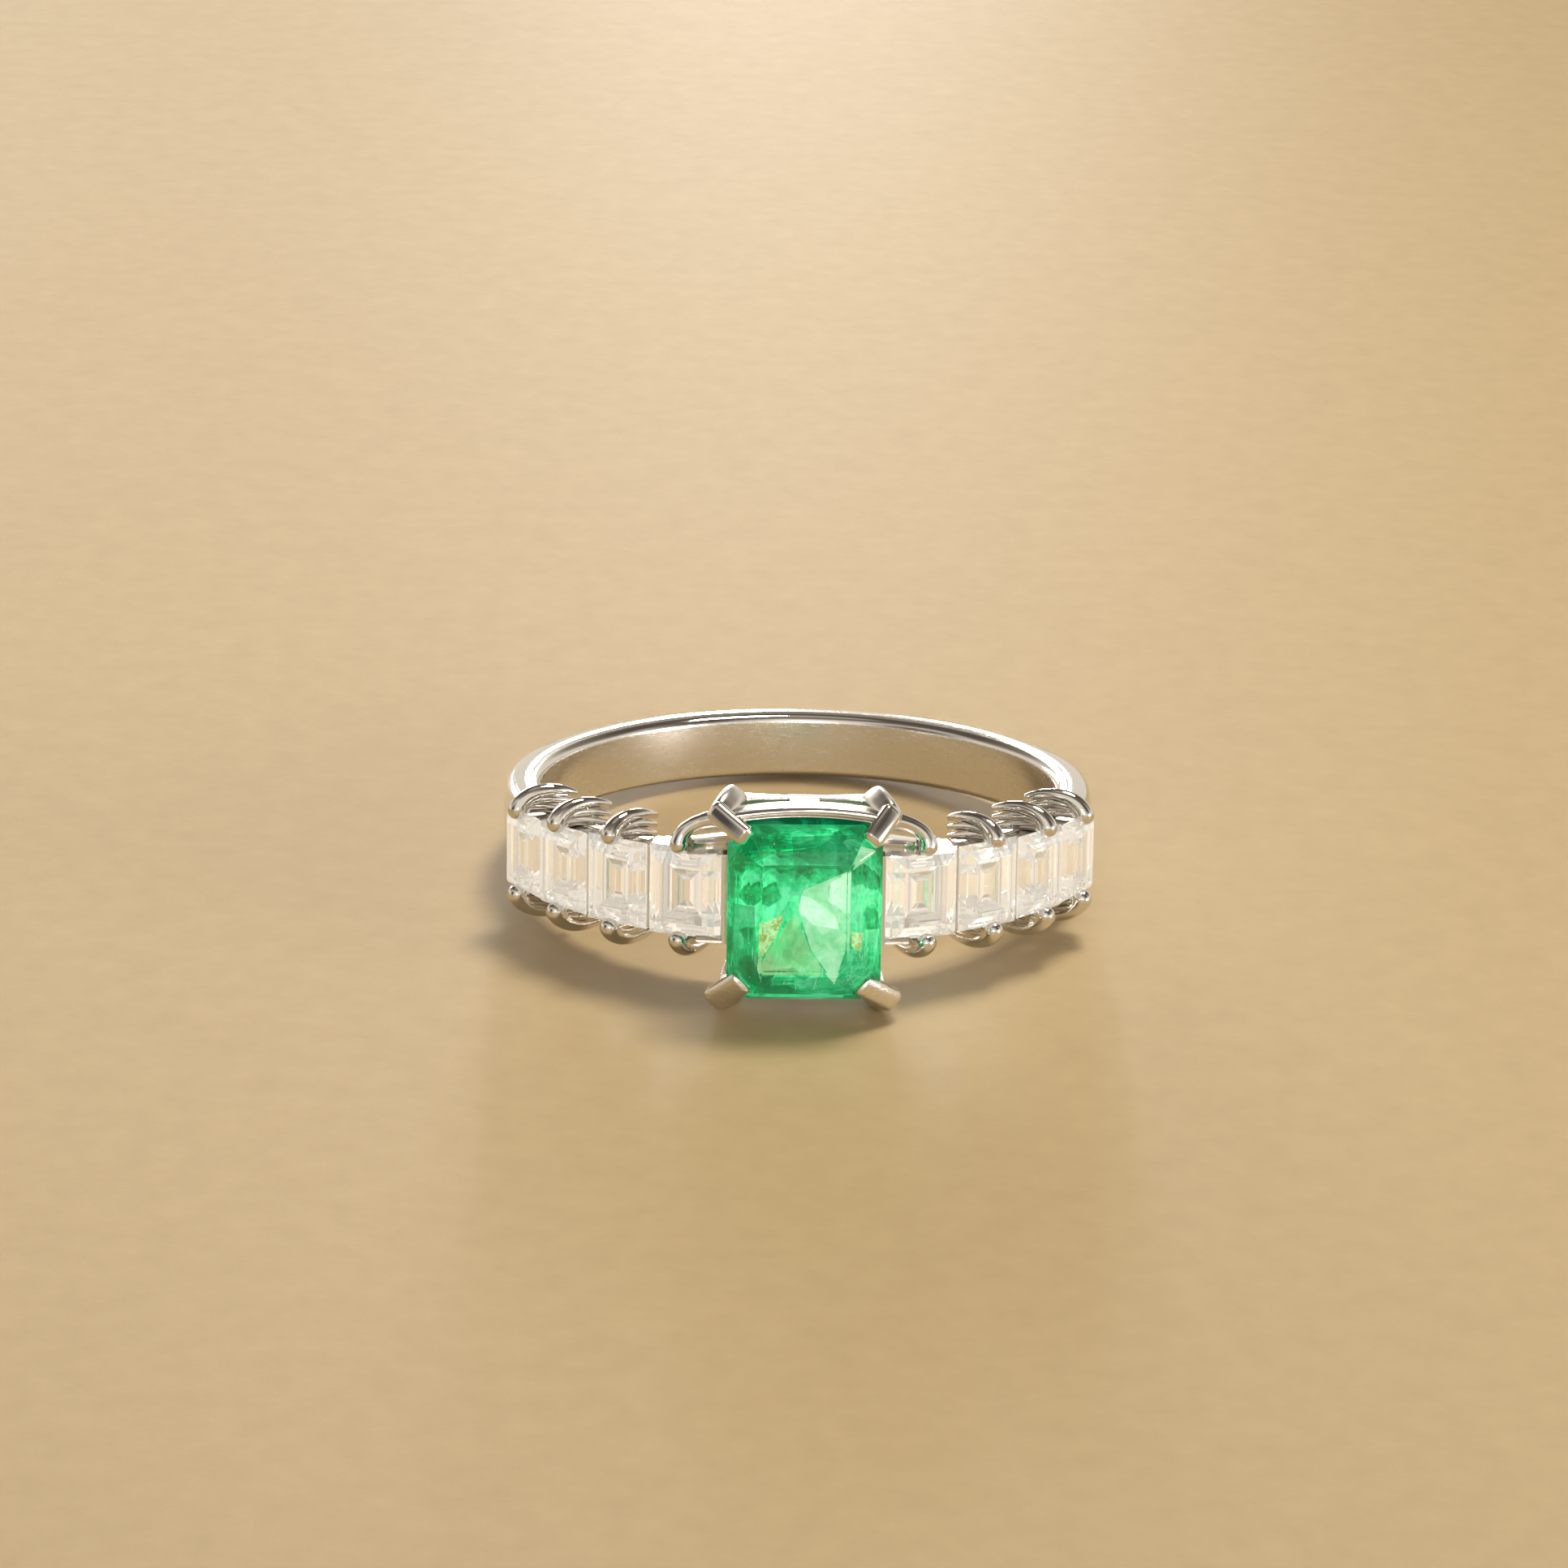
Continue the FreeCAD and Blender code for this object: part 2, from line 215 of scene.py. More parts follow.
def set_ramp(node, stops):
    """Fill a colour ramp with (position, colour) pairs given in rising order."""
    elements = node.color_ramp.elements
    elements[0].position, elements[1].position = stops[0][0], stops[-1][0]
    for position, colour in stops[1:-1]:
        elements.new(position)
    for element, (position, colour) in zip(elements, stops):
        element.color = (*colour, 1)


def platinum_material(name, roughness, wave_height, mark_height=6e-8):
    """Platinum with faint waves, wipe or brush marks (heights in metres), uneven polish."""
    material, nodes, links, shader = new_material(name)
    shader.inputs["Base Color"].default_value = (0.80, 0.775, 0.735, 1)
    shader.inputs["Metallic"].default_value = 1.0
    place = nodes.new("ShaderNodeTexCoord")
    stretch = add_node(nodes, "ShaderNodeMapping", Scale=(1.0, 1.0, 7.0))
    links.new(place.outputs["Object"], stretch.inputs["Vector"])
    marks = add_node(nodes, "ShaderNodeTexNoise", Scale=2600.0, Detail=4.0, Roughness=0.6)
    links.new(stretch.outputs["Vector"], marks.inputs["Vector"])
    spread = add_node(nodes, "ShaderNodeMapRange", From_Min=0.35, From_Max=0.75,
                      To_Min=roughness * 0.8, To_Max=roughness * 1.3)
    spread.name = "polish"
    links.new(marks.outputs["Fac"], spread.inputs["Value"])
    links.new(spread.outputs["Result"], shader.inputs["Roughness"])
    waves = add_node(nodes, "ShaderNodeTexNoise", Scale=700.0, Detail=2.0)
    links.new(place.outputs["Object"], waves.inputs["Vector"])
    fine = add_node(nodes, "ShaderNodeBump", Strength=0.35, Distance=mark_height)
    links.new(marks.outputs["Fac"], fine.inputs["Height"])
    broad = add_node(nodes, "ShaderNodeBump", Strength=1.0, Distance=wave_height)
    links.new(waves.outputs["Fac"], broad.inputs["Height"])
    links.new(fine.outputs["Normal"], broad.inputs["Normal"])
    links.new(broad.outputs["Normal"], shader.inputs["Normal"])
    return material


def dull_towards_finger(material, dull_w, bright_w, roughness):
    """Metal polished on top of the head only; it stays satin further down."""
    nodes, links = material.node_tree.nodes, material.node_tree.links
    split = nodes.new("ShaderNodeSeparateXYZ")
    links.new(nodes["Texture Coordinate"].outputs["Object"], split.inputs["Vector"])
    depth = add_node(nodes, "ShaderNodeMapRange", From_Min=-bright_w * MM,
                     From_Max=-dull_w * MM, To_Min=0.0, To_Max=roughness)
    links.new(split.outputs["Y"], depth.inputs["Value"])
    total = add_node(nodes, "ShaderNodeMath", operation="ADD")
    links.new(nodes["polish"].outputs["Result"], total.inputs[0])
    links.new(depth.outputs["Result"], total.inputs[1])
    links.new(total.outputs["Value"], nodes["Principled BSDF"].inputs["Roughness"])


def stone_material(name, ior, tint=None, density=0.0):
    """Clear facets of a stone; a tint absorbs along the light's way inside."""
    material, nodes, links, shader = new_material(name)
    shader.inputs["Base Color"].default_value = (1, 1, 1, 1)
    shader.inputs["Roughness"].default_value = 0.0
    shader.inputs["IOR"].default_value = ior
    shader.inputs["Transmission Weight"].default_value = 1.0
    if tint:
        absorb = nodes.new("ShaderNodeVolumeAbsorption")
        absorb.inputs["Color"].default_value = (*tint, 1)
        absorb.inputs["Density"].default_value = density
        links.new(absorb.outputs["Volume"], nodes["Material Output"].inputs["Volume"])
    return material


def back_material(name, mirror, colour, painted_glow_colour, painted_glow):
    """Back facets, which send the light forward again by mirror and scatter, and glow on top of that:
    painted light.
    """
    material, _, _, shader = new_material(name)
    shader.inputs["Base Color"].default_value = (*colour, 1)
    shader.inputs["Metallic"].default_value = mirror
    shader.inputs["Roughness"].default_value = 0.0
    # painted light: the back facets glow though they are no lamp
    shader.inputs["Emission Color"].default_value = (*painted_glow_colour, 1)
    shader.inputs["Emission Strength"].default_value = painted_glow
    return material


def add_garden_and_painted_light(material, stops):
    """Mottled patches, specks and streaks, as grown into an emerald; the middle is painted paler
    (painted light) and the colours also drive a painted glow.
    """
    nodes, links = material.node_tree.nodes, material.node_tree.links
    place = nodes.new("ShaderNodeTexCoord")
    # spherical gradient: painted light, paler towards the middle of the stone
    flat = add_node(nodes, "ShaderNodeMapping", Location=(-0.16, 0.0, 0.10),
                    Scale=(360.0, 0.0, 330.0))
    links.new(place.outputs["Object"], flat.inputs["Vector"])
    middle = add_node(nodes, "ShaderNodeTexGradient", gradient_type="SPHERICAL")
    links.new(flat.outputs["Vector"], middle.inputs["Vector"])
    stretch = add_node(nodes, "ShaderNodeMapping", Scale=(1.0, 1.0, 0.12))
    links.new(place.outputs["Object"], stretch.inputs["Vector"])
    # sharp-edged patches: partly the stone's own garden, partly painted reflections of facets
    patches = add_node(nodes, "ShaderNodeTexVoronoi", Scale=1150.0)
    links.new(place.outputs["Object"], patches.inputs["Vector"])
    tone = nodes.new("ShaderNodeSeparateColor")
    links.new(patches.outputs["Color"], tone.inputs["Color"])
    clouds = add_node(nodes, "ShaderNodeTexNoise", Scale=900.0, Detail=4.0)
    links.new(place.outputs["Object"], clouds.inputs["Vector"])
    specks = add_node(nodes, "ShaderNodeTexNoise", Scale=7000.0, Detail=2.0)
    links.new(place.outputs["Object"], specks.inputs["Vector"])
    streaks = add_node(nodes, "ShaderNodeTexNoise", Scale=4200.0, Detail=2.0)
    links.new(stretch.outputs["Vector"], streaks.inputs["Vector"])
    total = middle.outputs["Fac"]
    layers = ((clouds.outputs["Fac"], 1.4), (tone.outputs["Red"], 0.45),
              (specks.outputs["Fac"], 0.6), (streaks.outputs["Fac"], 0.4))
    for output, share in layers:
        add = add_node(nodes, "ShaderNodeMath", operation="MULTIPLY_ADD")
        add.inputs[1].default_value = share
        links.new(output, add.inputs[0])
        links.new(total, add.inputs[2])
        total = add.outputs["Value"]
    scaled = add_node(nodes, "ShaderNodeMath", operation="MULTIPLY")
    scaled.inputs[1].default_value = 0.4
    links.new(total, scaled.inputs[0])
    ramp = nodes.new("ShaderNodeValToRGB")
    set_ramp(ramp, stops)
    links.new(scaled.outputs["Value"], ramp.inputs["Fac"])
    # the mottled colours drive the emission too: painted glow
    for socket in ("Base Color", "Emission Color"):
        links.new(ramp.outputs["Color"], nodes["Principled BSDF"].inputs[socket])


def veil_material(name, first, second, scale, alpha, painted_glow):
    """Healed fracture inside the emerald: a thin, half clear sheet, speckled in two colours, that
    glows: painted light.
    """
    material, nodes, links, shader = new_material(name)
    place = nodes.new("ShaderNodeTexCoord")
    grain = add_node(nodes, "ShaderNodeTexNoise", Scale=scale, Detail=3.0, Distortion=1.5)
    links.new(place.outputs["Object"], grain.inputs["Vector"])
    ramp = nodes.new("ShaderNodeValToRGB")
    set_ramp(ramp, ((0.40, first), (0.58, second)))
    links.new(grain.outputs["Fac"], ramp.inputs["Fac"])
    links.new(ramp.outputs["Color"], shader.inputs["Base Color"])
    links.new(ramp.outputs["Color"], shader.inputs["Emission Color"])
    # painted light: the sheet glows though it is no lamp
    shader.inputs["Emission Strength"].default_value = painted_glow
    shader.inputs["Roughness"].default_value = 0.3
    shader.inputs["Alpha"].default_value = alpha
    return material


PLATINUM = platinum_material("platinum_polished", 0.06, 4e-6)
CLAW_PLATINUM = platinum_material("platinum_claws", 0.045, 2e-6)
SATIN_PLATINUM = platinum_material("platinum_satin", 0.17, 2e-6)
INNER_PLATINUM = platinum_material("platinum_inside", 0.24, 6e-7)
HEAD_PLATINUM = platinum_material("platinum_head", 0.05, 3e-6, 9e-8)
BRUSHED_PLATINUM = platinum_material("platinum_brushed", 0.24, 2e-6, 4e-5)
dull_towards_finger(HEAD_PLATINUM, dull_w=10.7, bright_w=11.1, roughness=0.24)

DIAMOND_IOR = 2.417
DIAMOND_CROWN = stone_material("diamond_crown", DIAMOND_IOR)
# the diamonds' back facets glow: painted light that brightens the stones
DIAMOND_BACK_PAINTED_GLOW = back_material("diamond_back_painted_glow", 0.93, (1.0, 0.985, 0.96), (1.0, 0.95, 0.86), 0.23)

EMERALD_IOR = 1.577
EMERALD_TINT = (0.0, 0.97, 0.78)
EMERALD_DENSITY = 400.0     # per metre
# colours from the deep to the pale parts of the mottling, at their places on its scale; they also
# colour a painted glow, and the palest are reached in the painted pale middle
GARDEN_AND_PAINTED_LIGHT = (
    (0.61, (0.00, 0.20, 0.08)),
    (0.69, (0.00, 0.49, 0.22)),
    (0.79, (0.14, 0.78, 0.45)),
    (0.89, (0.75, 1.00, 0.78)),
)
EMERALD_CROWN = stone_material("emerald_crown", EMERALD_IOR, EMERALD_TINT, EMERALD_DENSITY)
# the emerald's back facets glow in the mottled colours: painted light
EMERALD_BACK_PAINTED_GLOW = back_material("emerald_back_painted_glow", 0.5, (0.1, 0.7, 0.4), (0.05, 0.8, 0.4), 0.40)
add_garden_and_painted_light(EMERALD_BACK_PAINTED_GLOW, GARDEN_AND_PAINTED_LIGHT)
# glowing pale sheets where the stone looks bright: painted light
PAINTED_LIGHT_VEIL = veil_material(
    "emerald_painted_light_veil", (0.72, 0.92, 0.70), (1.0, 1.0, 0.90), 2600.0, 0.35, 0.62)
PAINTED_PALE_LIGHT_VEIL = veil_material(
    "emerald_painted_pale_light_veil", (0.55, 0.84, 0.50), (0.95, 0.98, 0.78), 1900.0, 0.33, 0.50)
PAINTED_SOFT_LIGHT_VEIL = veil_material(
    "emerald_painted_soft_light_veil", (0.36, 0.68, 0.28), (0.76, 0.90, 0.50), 1600.0, 0.31, 0.42)
# dark sheets where the stone looks dark: painted shade
PAINTED_SHADE_VEIL = veil_material(
    "emerald_painted_shade_veil", (0.0, 0.12, 0.045), (0.0, 0.34, 0.14), 1300.0, 0.28, 0.25)
# golden glowing sheets for the yellow glints: painted glints
PAINTED_GLINT_VEIL = veil_material(
    "emerald_painted_glint_veil", (0.80, 0.42, 0.05), (1.0, 0.95, 0.60), 5200.0, 0.40, 0.50)
# needles and specks are real inclusions; their glow is painted light
NEEDLES_PAINTED_GLOW = veil_material(
    "emerald_needles_painted_glow", (0.70, 1.0, 0.80), (0.95, 1.0, 0.95), 5000.0, 0.5, 0.30)


# ---- stones ------------------------------------------------------------------------
STONE_FIT = 0.985           # of the CAD stone's size, so that air is behind the stone
FACET_EDGE = 0.012          # worn edge between two facets
FACET_MERGE = 0.3           # degrees between faces that are one facet
EMERALD_LEAN = ((-0.22, -0.30), 0.16)       # shift of the keel (u, v) and its twist


def stone(name, setting, crown, back, slot, node, lean=None):
    """The CAD stone's facets with worn edges; lean moves the keel, as in an uneven cut."""
    bm = bmesh.new()
    turn = Matrix.Rotation(setting.angle, 3, "Z")
    centre = turn @ front(0, 0, setting.girdle_w)
    outward = turn @ front(0, 0, 1)
    deepest = setting.girdle_w - setting.culet_w
    for point in setting.points:
        offset = (point - centre) * STONE_FIT
        depth = max(0.0, -offset.dot(outward) / deepest)
        if lean:
            offset += (front(*lean[0], 0) + outward.cross(offset) * lean[1]) * depth
        bm.verts.new(centre + offset)
    bmesh.ops.convex_hull(bm, input=bm.verts)
    bmesh.ops.dissolve_limit(bm, angle_limit=math.radians(FACET_MERGE), verts=bm.verts,
                             edges=bm.edges)
    bmesh.ops.bevel(bm, geom=bm.edges[:], offset=FACET_EDGE, segments=1, affect="EDGES",
                    profile=0.5, clamp_overlap=True)
    for face in bm.faces:
        if (face.calc_center_median() - centre).dot(outward) < -FACET_EDGE:
            face.material_index = 1
    thing = make_object(name, bm, crown)
    thing.data.materials.append(back)
    piece(thing, slot, node)


VEIL_THICK = 0.02
# healed fractures with straight edges that also paint in the bright and dark patches and glints of
# the stone (painted light, painted shade, painted glints): w, corners (u, v), material
VEILS = (
    (11.60, ((-2.15, 0.30), (-1.42, 0.22), (-1.32, -1.90), (-1.70, -2.35), (-2.15, -2.05)),
     PAINTED_SHADE_VEIL),
    (11.60, ((-1.22, -1.86), (1.30, -1.86), (1.62, -2.50), (-1.56, -2.50)), PAINTED_SHADE_VEIL),
    (11.60, ((-0.42, 2.35), (1.80, 2.45), (1.28, 1.44), (0.05, 1.50), (-0.30, 1.05)), PAINTED_SHADE_VEIL),
    (11.62, ((-0.54, -0.26), (-0.25, 0.06), (0.20, -1.14), (0.62, -1.78), (-1.30, -1.78),
             (-1.26, -1.42)), PAINTED_SOFT_LIGHT_VEIL),
    (11.66, ((-0.04, 0.80), (1.28, 1.40), (1.26, -1.10), (0.94, -2.10), (0.22, -1.12), (-0.20, 0.24)),
     PAINTED_PALE_LIGHT_VEIL),
    (11.62, ((1.62, 2.10), (2.10, 1.98), (1.32, 1.42)), PAINTED_PALE_LIGHT_VEIL),
    (11.70, ((-0.12, 0.62), (0.20, 0.56), (0.92, 0.02), (1.05, -0.42), (0.30, -0.30), (-0.14, 0.10)),
     PAINTED_LIGHT_VEIL),
    (11.70, ((0.78, 1.05), (1.26, 1.34), (1.26, 0.10), (0.74, 0.45)), PAINTED_LIGHT_VEIL),
    (11.70, ((-1.26, -0.24), (-0.62, 0.04), (-0.86, -0.66), (-1.28, -1.34)), PAINTED_GLINT_VEIL),
    (11.66, ((1.30, -0.52), (1.68, -0.58), (1.60, -1.14), (1.34, -0.98)), PAINTED_GLINT_VEIL),
)
INCLUSION_SEED = 11
NEEDLE_COUNT = 30
NEEDLE_SPACE = ((-1.6, 1.8), (-2.25, -1.2), (11.55, 11.85))     # ranges of u, v and w
NEEDLE_HALF_LENGTH = (0.06, 0.30)
NEEDLE_RADIUS = (0.006, 0.012)
NEEDLE_LEAN = 9             # degrees
SPECK_COUNT = 150
SPECK_SPACE = ((-1.9, 1.9), (-2.3, 2.3), (11.2, 11.9))
SPECK_RADIUS = (0.006, 0.018)
SHEET_ANGLE = 60            # edges of veils, needles and specks stay sharp past this


def veil(number, w, corners, material):
    """Thin flat sheet with straight edges, parallel to the table."""
    rings = []
    for rise in (-VEIL_THICK / 2, VEIL_THICK / 2):
        rings.append([front(u, v, w + rise) for u, v in corners])
    bm = bmesh.new()
    loft(bm, rings)
    piece(make_object(f"emerald_veil_painted_light_and_shade_{number}", bm, material, SHEET_ANGLE), "emerald")


def within(chance, space):
    """Random point of a box given as ranges of u, v and w."""
    return front(*[chance.uniform(low, high) for low, high in space])


def inclusions():
    """Fine growth needles near the lower edge and specks all through the emerald, with a painted
    glow.
    """
    chance = random.Random(INCLUSION_SEED)
    bm = bmesh.new()
    for _ in range(NEEDLE_COUNT):
        move = Matrix.Translation(within(chance, NEEDLE_SPACE))
        length = chance.uniform(*NEEDLE_HALF_LENGTH)
        turn = Matrix.Rotation(math.radians(chance.gauss(0, NEEDLE_LEAN)), 4, "Y")
        shape = Matrix.Diagonal((chance.uniform(*NEEDLE_RADIUS), NEEDLE_RADIUS[0], length, 1))
        made = bmesh.ops.create_icosphere(bm, subdivisions=1, radius=1.0)
        bmesh.ops.transform(bm, matrix=move @ turn @ shape, verts=made["verts"])
    for _ in range(SPECK_COUNT):
        move = Matrix.Translation(within(chance, SPECK_SPACE))
        radius = chance.uniform(*SPECK_RADIUS)
        made = bmesh.ops.create_icosphere(bm, subdivisions=1, radius=radius)
        bmesh.ops.transform(bm, matrix=move, verts=made["verts"])
    piece(make_object("emerald_inclusions", bm, NEEDLES_PAINTED_GLOW, SHEET_ANGLE), "emerald")


# ---- shank -------------------------------------------------------------------------
SHANK_STEPS = 540
SHANK_INNER_ROUND = 0.28
SHANK_OUTER_ROUND = 0.22
SHANK_DOME = 0.10
RIM_CROWN = 0.03            # the flat rims swell this much in their middle
RAIL_ROUND = 0.06
ROUND_STEPS = 9
DOME_STEPS = 10
FEWEST_RINGS = 8
SEAM = 0.0005               # points closer than this are one point
SHANK_ANGLE = 35
WORN_INSIDE = 0.03          # faces this close to the bore are satin from wear
HEAD_WINDOW_R = 0.75
AZURE_R = 0.5               # light hole behind a side stone
DRILL_FROM_W = BORE_R - 1
DRILL_TO_W = RAIL_OUTER_R + 0.5
DRILL_AROUND = 48


def quarter(centre_v, centre_w, radius, start_degrees):
    """Points of a quarter turn in the (v, w) plane."""
    angles = [math.radians(start_degrees + 90 * i / ROUND_STEPS) for i in range(ROUND_STEPS + 1)]
    return [(centre_v + radius * math.cos(a), centre_w + radius * math.sin(a)) for a in angles]


def shank_section(outer_r, outer_round, dome, inner_round, crown):
    """Closed section as (v, w): flat inside, gently domed outside, rounded edges."""
    side_v = SHANK_HALF_WIDTH - crown
    inner_w = BORE_R + inner_round
    outer_w = outer_r - dome - outer_round
    section = quarter(side_v - inner_round, inner_w, inner_round, -90)
    for step in range(1, DOME_STEPS):
        share = 2 * step / DOME_STEPS - 1
        middle_w = inner_w + (outer_w - inner_w) * (share + 1) / 2
        section.append((side_v + crown * (1 - share ** 2), middle_w))
    section += quarter(side_v - outer_round, outer_w, outer_round, 0)
    flat_v = side_v - outer_round
    for step in range(1, DOME_STEPS):
        v = flat_v * (1 - 2 * step / DOME_STEPS)
        section.append((v, outer_r - dome * (v / flat_v) ** 2))
    half = 2 * (ROUND_STEPS + 1) + DOME_STEPS - 1
    mirrored = [(-v, w) for v, w in section[:half]]
    return section + mirrored[::-1]


def shank():
    """The band as one hoop; under the settings it drops to the thin rail."""
    full = shank_section(SHANK_OUTER_R, SHANK_OUTER_ROUND, SHANK_DOME, SHANK_INNER_ROUND,
                         RIM_CROWN)
    rail = shank_section(RAIL_OUTER_R, RAIL_ROUND, 0.0, SHANK_INNER_ROUND, 0.0)
    last_seat = node_points(f"side_seat_right_{NUMBERS[-1]}")
    start = max(math.atan2(point.x, -point.y) for point in last_seat)
    bm = bmesh.new()
    rings = []
    for low, high, section in ((start, 2 * math.pi - start, full), (-start, start, rail)):
        count = max(FEWEST_RINGS, round(SHANK_STEPS * (high - low) / (2 * math.pi)))
        for step in range(count + 1):
            turn = Matrix.Rotation(low + (high - low) * step / count, 3, "Z")
            rings.append([turn @ front(0, v, w) for v, w in section])
    loft(bm, rings, close=True)
    bmesh.ops.remove_doubles(bm, verts=bm.verts, dist=SEAM)
    thing = make_object("band", bm, PLATINUM, SHANK_ANGLE)
    drill_holes(thing)
    thing.data.materials.append(INNER_PLATINUM)
    for face in thing.data.polygons:
        if face.center.xy.length < (BORE_R + WORN_INSIDE) * MM:
            face.material_index = 1
    piece(thing, "platinum", "shank")


def drill_holes(thing):
    """Light holes through the rail behind every stone."""
    holes = [(0.0, HEAD_WINDOW_R)]
    holes += [(setting.angle, AZURE_R) for setting in SETTINGS.values()]
    bm = bmesh.new()
    for angle, radius in holes:
        turn = Matrix.Rotation(angle, 3, "Z")
        rings = []
        for w in (DRILL_FROM_W, DRILL_TO_W):
            circle = superellipse(radius, radius, 2, DRILL_AROUND)
            rings.append([turn @ front(u, v, w) for u, v in circle])
        loft(bm, rings)
    drill = make_object("drill", bm, PLATINUM)
    combine(thing, drill, "DIFFERENCE")
    apply_modifiers(thing)
    thing.data.set_sharp_from_angle(angle=math.radians(SHANK_ANGLE))
    bpy.data.objects.remove(drill)


# ---- side claws --------------------------------------------------------------------
CLAW_BALL_U = 0.13          # the ball leans towards the back of the ring
CLAW_BALL_OUT = 0.10        # beyond the end of the stone
CLAW_BALL_UP = 0.23         # above the girdle
CLAW_RIB_STEPS = 26
CLAW_AROUND = 28
CLAW_ANGLE = 42
CAP_STEPS = 7
# each rib: foot, first handle, second handle as (u, v, w), radii from the foot to the ball
CLAW_RIBS = (
    ((-0.27, 1.80, 8.44), (-0.25, 2.02, 9.05), (0.10, 2.08, 9.95),
     (0.12, 0.17, 0.21, 0.24, 0.27, 0.31)),
    ((-0.26, 1.49, 8.42), (-0.22, 1.66, 9.00), (0.06, 1.84, 9.75),
     (0.10, 0.14, 0.18, 0.21, 0.23, 0.24)),
    ((-0.25, 1.20, 8.40), (-0.20, 1.32, 8.95), (0.04, 1.58, 9.65),
     (0.09, 0.13, 0.17, 0.20, 0.22, 0.22)),
)


def bezier(points, share):
    """Point and direction on a cubic curve."""
    a, b, c, d = points
    k = 1 - share
    place = a * k ** 3 + b * (3 * k * k * share) + c * (3 * k * share ** 2) + d * share ** 3
    way = (b - a) * (3 * k * k) + (c - b) * (6 * k * share) + (d - c) * (3 * share ** 2)
    return place, way.normalized()


def between(values, share):
    """Value part of the way along a list, on a straight line between neighbours."""
    spot = share * (len(values) - 1)
    index = min(int(spot), len(values) - 2)
    return values[index] + (values[index + 1] - values[index]) * (spot - index)


def rib(curve, radii):
    """Round bar of changing thickness along a curve, with domed ends, as a bmesh."""
    stations = []
    for step in range(1, CAP_STEPS):
        angle = math.pi / 2 * (1 - step / CAP_STEPS)
        stations.append((0.0, -radii[0] * math.sin(angle), radii[0] * math.cos(angle)))
    for step in range(CLAW_RIB_STEPS + 1):
        share = step / CLAW_RIB_STEPS
        stations.append((share, 0.0, between(radii, share)))
    for step in range(1, CAP_STEPS):
        angle = math.pi / 2 * step / CAP_STEPS
        stations.append((1.0, radii[-1] * math.sin(angle), radii[-1] * math.cos(angle)))
    rings = []
    for share, shift, radius in stations:
        place, way = bezier(curve, share)
        side = way.cross(Vector((0, 0, 1))).normalized()
        up = side.cross(way)
        centre = place + way * shift
        circle = superellipse(radius, radius, 2, CLAW_AROUND)
        rings.append([centre + side * x + up * y for x, y in circle])
    bm = bmesh.new()
    loft(bm, rings)
    return bm


def fused(name, shells, material, sharp_angle):
    """One closed solid out of overlapping ones."""
    things = [make_object(name, shell, material) for shell in shells]
    for other in things[1:]:
        combine(things[0], other, "UNION")
    apply_modifiers(things[0])
    for other in things[1:]:
        bpy.data.objects.remove(other)
    shade(things[0].data, sharp_angle)
    return things[0]


def mirrored_copy(source, name, scale):
    """Copy of a finished mesh on the other side or at the other end."""
    mesh = source.data.copy()
    mesh.transform(Matrix.Diagonal((*scale, 1)))
    if math.prod(scale) < 0:
        mesh.flip_normals()
    return add_object(name, mesh)


def side_claws(number):
    """The four claws, one per shoulder and end, of the stones with one number."""
    setting = SETTINGS["right", number]
    ball = front(CLAW_BALL_U, setting.half_v + CLAW_BALL_OUT, setting.girdle_w + CLAW_BALL_UP)
    turn = Matrix.Rotation(setting.angle, 3, "Z")
    for end in ENDS:
        shells = []
        for index, (*places, radii) in enumerate(CLAW_RIBS):
            curve = [turn @ front(*place) for place in places]
            if index == 0 and number == 1 and end == "upper":
                curve = [front(*place) for place in HORN]
                radii = HORN_RADII
            shells.append(rib(curve + [turn @ ball], radii))
        claw = fused("side_claw", shells, CLAW_PLATINUM, CLAW_ANGLE)
        for side in SIDES:
            name = f"side_claw_{side}_{number}_{end}"
            thing = mirrored_copy(claw, "polished_" + name, (SIGN[side], 1, SIGN[end]))
            piece(thing, "platinum", name)
        bpy.data.objects.remove(claw)


# ---- head --------------------------------------------------------------------------
# centre claw leg, from finger to shoulder: (w, u, v, half along the diagonal, half across it)
LEG = (
    (8.62, 2.02, 2.46, 0.22, 0.22),
    (8.70, 2.04, 2.50, 0.32, 0.30),
    (8.80, 2.06, 2.56, 0.36, 0.33),
    (9.10, 2.12, 2.80, 0.39, 0.36),
    (9.45, 2.18, 3.00, 0.41, 0.37),
    (9.90, 2.24, 3.09, 0.41, 0.38),
    (10.40, 2.38, 3.05, 0.40, 0.37),
    (10.80, 2.54, 2.95, 0.37, 0.34),
    (11.05, 2.58, 2.84, 0.32, 0.30),
    (11.20, 2.52, 2.74, 0.24, 0.24),
    (11.28, 2.46, 2.68, 0.16, 0.16),
)
LEG_POWER = 3.0
LEG_AROUND = 72
LEG_FILL = 7                # rings between two given sections
LEG_DIAGONAL = math.atan2(0.65, 0.76)       # way out of the stone's corner, in (u, v)
# filed bar on top of each claw: outer and inner end of its top line as (u, v, w), width
TIPS = {
    ("left", "upper"): ((2.98, 3.18, 11.06), (1.84, 2.42, 11.92), 0.66),
    ("right", "upper"): ((2.82, 3.24, 11.06), (2.04, 2.36, 11.92), 0.66),
    ("left", "lower"): ((2.94, 3.16, 11.02), (1.88, 2.20, 11.92), 0.80),
    ("right", "lower"): ((2.98, 3.12, 11.02), (1.78, 2.24, 11.92), 0.74),
}
TIP_THICK = 0.54
TIP_POWER = 2.9
TIP_SWELL = 0.05            # the bar is domed along its length too
TIP_ROUND = 0.24            # outer end
TIP_ROUND_FROM = 6          # degrees at which the rounding starts, so its end is a small flat
TIP_CHAMFER = 0.13          # inner end
TIP_CHAMFER_DROP = 0.9      # of the chamfer's length
MELT_VOXEL = 0.022
MELT_SOFTNESS = 0.5
